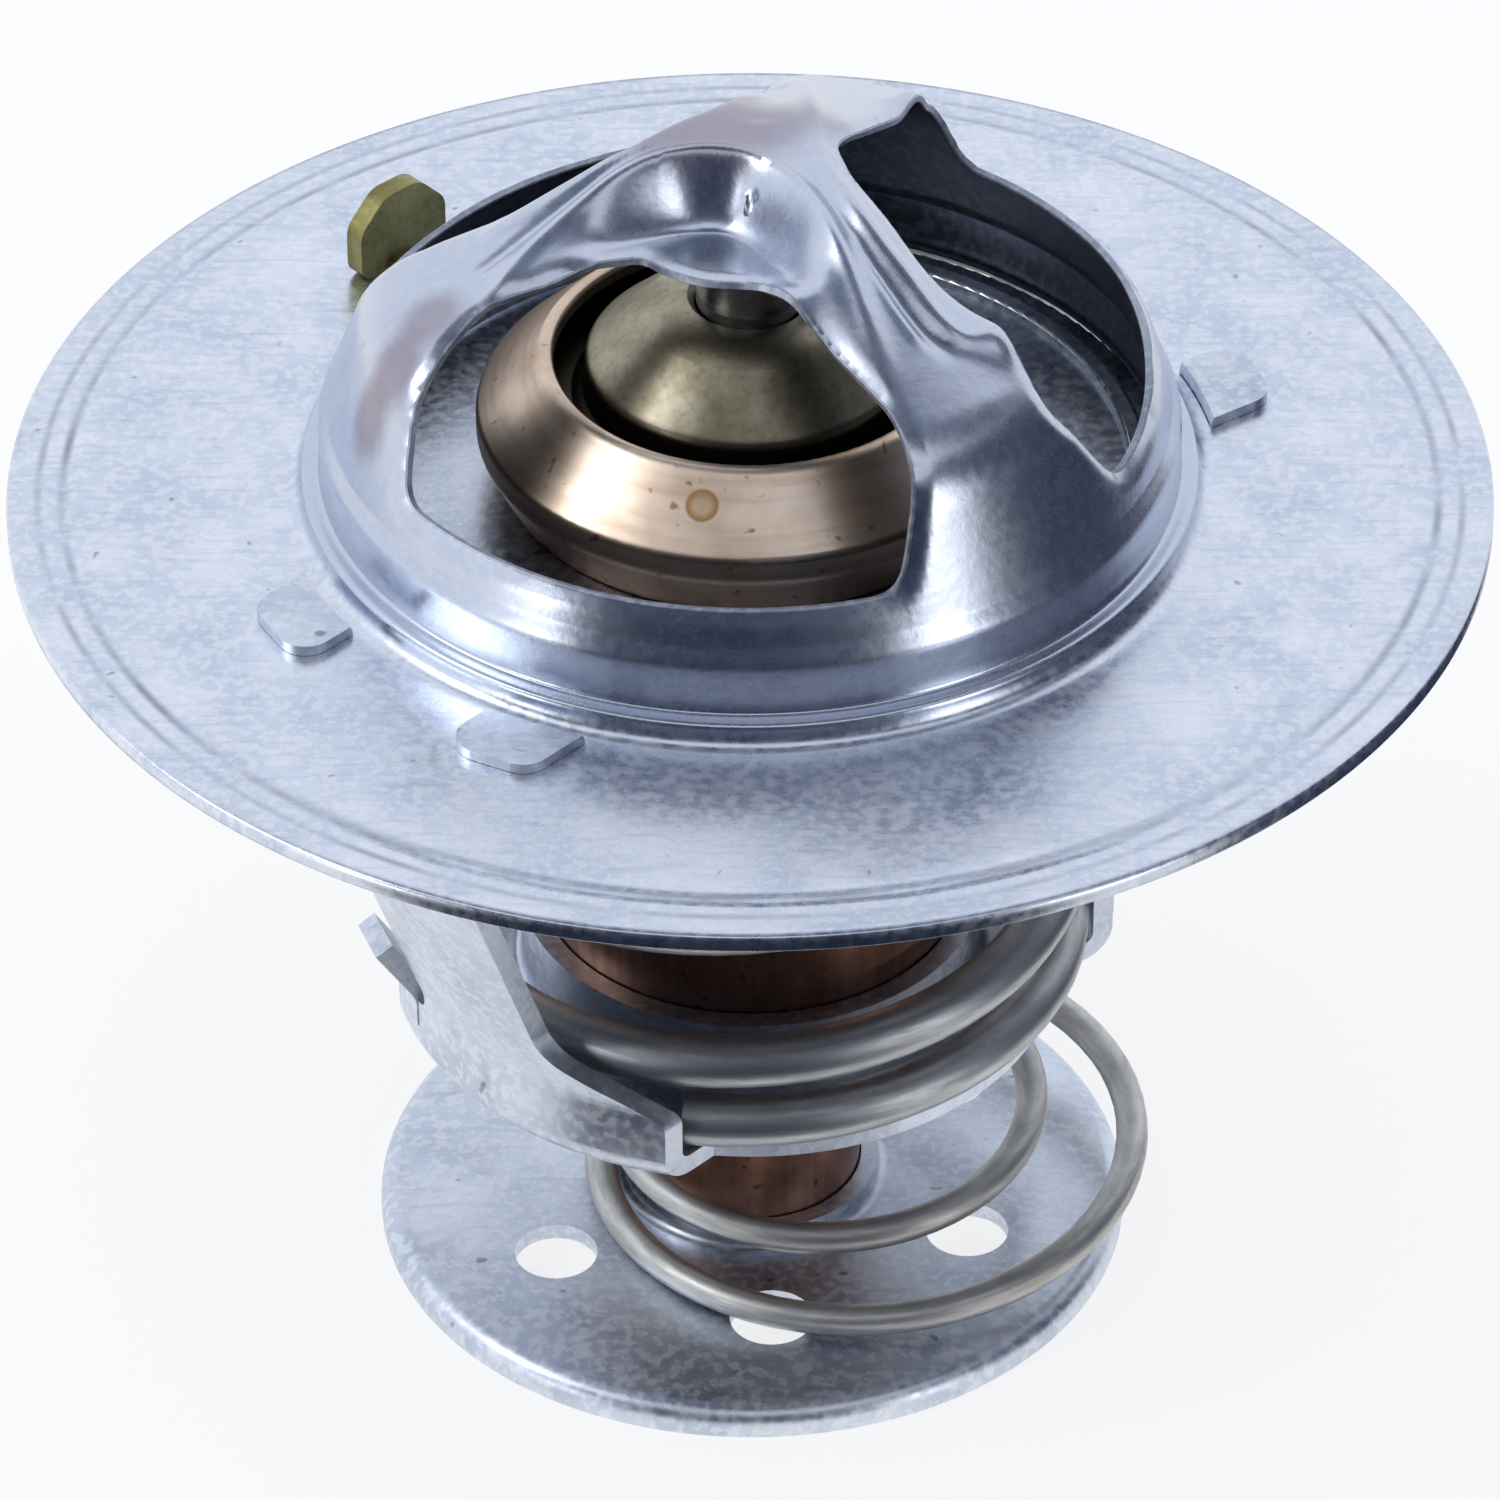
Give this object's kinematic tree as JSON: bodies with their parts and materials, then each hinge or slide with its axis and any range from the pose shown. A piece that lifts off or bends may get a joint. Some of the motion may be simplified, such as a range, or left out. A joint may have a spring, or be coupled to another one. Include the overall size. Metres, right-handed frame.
{
  "type": "wax element coolant valve",
  "caption": "Wax-element engine coolant valve: round flange with a three-legged bridge, sprung valve disc, guide frame and sprung bypass plate.",
  "frame": {"origin": "centre of the flange, on the plane of its sealing border's top face", "axes": "+Z along the valve's axis, from the bypass plate towards the bridge; +X from the axis to the right as seen with the bridge's widest window in front; +Y away from that window"},
  "size_m": [0.067, 0.067, 0.0581],
  "materials": {
    "stamped_steel": "satin zinc",
    "spring_steel": "oiled wire",
    "pin_steel": "ground",
    "copper": "dull drawn copper",
    "brass": "turned",
    "rubber": "matt",
    "wax": "matt"
  },
  "bodies": {
    "housing": {"flange_bridge": "stamped_steel", "lower_frame": "stamped_steel", "piston_pin": "pin_steel", "main_spring": "spring_steel"},
    "element": {"element_cup": "copper", "guide_bush": "brass", "rubber_boot": "rubber", "wax_charge": "wax", "valve_disc": "stamped_steel", "bypass_spring": "spring_steel", "stem_clip": "spring_steel"},
    "bypass": {"bypass_plate": "stamped_steel"},
    "bleed": {"jiggle_pin": "brass"}
  },
  "joints": [
    {"name": "valve_lift", "type": "slide", "parent": "housing", "child": "element", "axis": [0, 0, -1], "range_m": [0, 0.009], "stiffness_N_per_m": 800, "springref_m": -0.005, "deforming": ["main_spring"]},
    {"name": "bypass_slide", "type": "slide", "parent": "element", "child": "bypass", "axis": [0, 0, 1], "range_m": [0, 0.008], "stiffness_N_per_m": 600, "springref_m": -0.01, "deforming": ["bypass_spring"]},
    {"name": "bleed_lift", "type": "slide", "parent": "housing", "child": "bleed", "axis": [0, 0, 1], "range_m": [0, 0.0024]}
  ]
}
